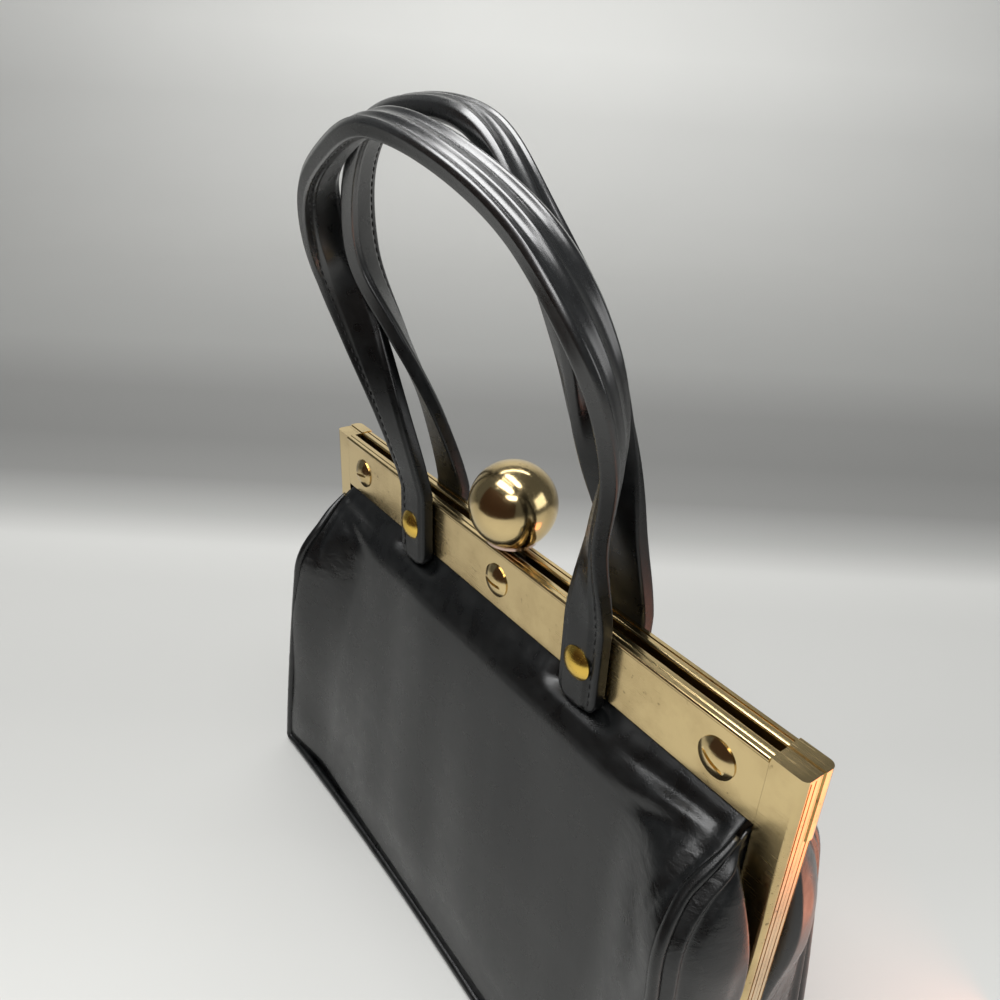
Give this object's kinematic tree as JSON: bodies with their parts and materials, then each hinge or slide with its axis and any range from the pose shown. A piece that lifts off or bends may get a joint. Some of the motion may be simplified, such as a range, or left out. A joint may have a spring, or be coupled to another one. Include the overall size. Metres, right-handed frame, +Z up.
{
  "type": "framed handbag",
  "caption": "Black leather frame handbag: a hinged brass frame with a single large ball clasp, two twisted strap handles, piped panels and a lined inside.",
  "frame": {"origin": "centre of the base on the surface that the bag stands on", "axes": "+X along the frame to the wearer's right when facing the front, -Y out of the front, where the ball tips away from, +Z up"},
  "size_m": [0.254, 0.0909, 0.3033],
  "materials": {
    "black_leather": "smooth glossy black calf, lightly creased",
    "black_piping": "glossy black piping over a cord",
    "lining_cloth": "brown woven lining",
    "stiff_board": "stiff fibre board",
    "frame_brass": "polished champagne brass, lightly tarnished",
    "ball_brass": "mirror polished brass with age spots",
    "rivet_brass": "bright yellow brass",
    "collar_metal": "worn rose silver",
    "latch_steel": "plain plated steel"
  },
  "bodies": {
    "bag": {"base_panel": "black_leather", "base_board": "stiff_board", "front_panel": "black_leather", "rear_panel": "black_leather", "left_gusset": "black_leather", "right_gusset": "black_leather", "front_piping": "black_piping", "rear_piping": "black_piping", "lining": "lining_cloth", "inner_pocket": "lining_cloth", "hinge_pins": "frame_brass"},
    "front_frame": {"front_channel": "frame_brass", "front_plate": "frame_brass", "front_plate_screws": "frame_brass", "front_handle_rivets": "rivet_brass", "front_handle_ends": "black_leather", "clasp_catch": "latch_steel"},
    "rear_frame": {"rear_channel": "frame_brass", "rear_plate": "frame_brass", "rear_plate_screws": "frame_brass", "rear_handle_rivets": "rivet_brass", "rear_handle_ends": "black_leather", "rear_corner_sleeves": "frame_brass", "clasp_bracket": "latch_steel", "clasp_pivot_pin": "latch_steel", "clasp_spring": "latch_steel"},
    "clasp": {"clasp_lever": "frame_brass", "clasp_collar": "collar_metal", "clasp_ball": "ball_brass"},
    "front_handle": {"front_handle": "black_leather"},
    "rear_handle": {"rear_handle": "black_leather"}
  },
  "joints": [
    {"name": "front_frame_open", "type": "hinge", "parent": "bag", "child": "front_frame", "pos_m": [0, 0, 0.056], "axis": [1, 0, 0], "range_deg": [0, 25], "deforming": ["front_panel", "rear_panel", "left_gusset", "right_gusset", "front_piping", "rear_piping"]},
    {"name": "rear_frame_open", "type": "hinge", "parent": "bag", "child": "rear_frame", "pos_m": [0, 0, 0.056], "axis": [-1, 0, 0], "range_deg": [0, 25], "deforming": ["front_panel", "rear_panel", "left_gusset", "right_gusset", "front_piping", "rear_piping"]},
    {"name": "clasp_tip", "type": "hinge", "parent": "rear_frame", "child": "clasp", "pos_m": [0, 0.0014, 0.159], "axis": [-1, 0, 0], "range_deg": [0, 13], "stiffness_Nm_per_rad": 0.15, "springref_deg": -20.05, "deforming": ["clasp_spring"]},
    {"name": "front_handle_swing", "type": "hinge", "parent": "front_frame", "child": "front_handle", "pos_m": [0, -0.00835, 0.1655], "axis": [1, 0, 0], "range_deg": [0, 88]},
    {"name": "rear_handle_swing", "type": "hinge", "parent": "rear_frame", "child": "rear_handle", "pos_m": [0, 0.00835, 0.1655], "axis": [-1, 0, 0], "range_deg": [0, 112]}
  ],
  "couplings": [
    {"joint": "rear_frame_open", "follows": "front_frame_open", "ratio": 1}
  ]
}
